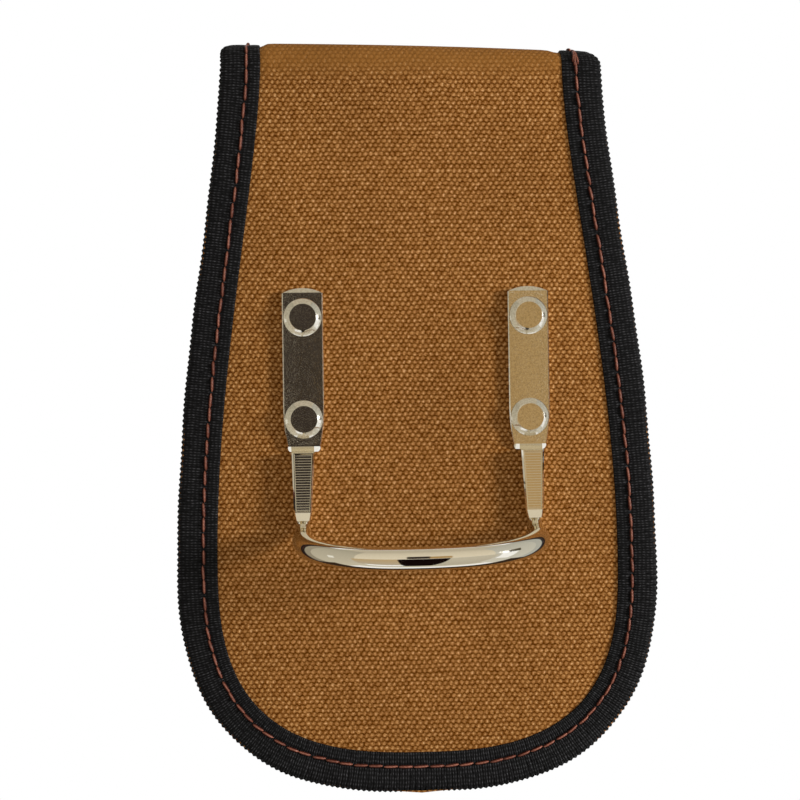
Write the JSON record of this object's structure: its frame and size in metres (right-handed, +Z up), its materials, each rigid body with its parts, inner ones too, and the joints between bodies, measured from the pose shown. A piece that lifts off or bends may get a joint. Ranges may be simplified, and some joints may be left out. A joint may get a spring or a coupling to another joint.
{
  "type": "hammer holder",
  "caption": "Belt-hung hammer holder: a tape-bound canvas tongue folded over at the top into a belt tunnel, with a riveted steel rod loop for a hammer.",
  "frame": {"origin": "middle of the belt tunnel, halfway between the inner faces of the front panel and the flap", "axes": "+Z up towards the fold, -Y out of the front panel towards the hammer loop, +X along the belt to the right as seen from the front"},
  "size_m": [0.14, 0.0538, 0.2173],
  "materials": {
    "canvas": "coarse plain-woven duck canvas, tan brown",
    "lining": "fine woven nylon lining, black",
    "board": "pressed polyethylene board",
    "tape": "cross-ribbed polypropylene binding webbing, black",
    "thread": "bonded polyester thread, rust brown",
    "loop_steel": "bright nickel-plated steel",
    "rivet_steel": "bright nickel-plated steel, turned caps"
  },
  "bodies": {
    "root": {"outer_canvas": "canvas", "stiffener_board": "board", "lining": "lining", "edge_binding": "tape", "flap_end_binding": "tape", "needle_thread": "thread", "bobbin_thread": "thread", "flap_end_needle_thread": "thread", "flap_end_bobbin_thread": "thread", "hammer_loop": "loop_steel", "rivet_cap_upper_left": "rivet_steel", "rivet_cap_upper_right": "rivet_steel", "rivet_cap_lower_left": "rivet_steel", "rivet_cap_lower_right": "rivet_steel", "rivet_socket_upper_left": "rivet_steel", "rivet_socket_upper_right": "rivet_steel", "rivet_socket_lower_left": "rivet_steel", "rivet_socket_lower_right": "rivet_steel", "rivet_post_upper_left": "rivet_steel", "rivet_post_upper_right": "rivet_steel", "rivet_post_lower_left": "rivet_steel", "rivet_post_lower_right": "rivet_steel", "rivet_back_cap_upper_left": "rivet_steel", "rivet_back_cap_upper_right": "rivet_steel", "rivet_back_cap_lower_left": "rivet_steel", "rivet_back_cap_lower_right": "rivet_steel"}
  },
  "joints": []
}
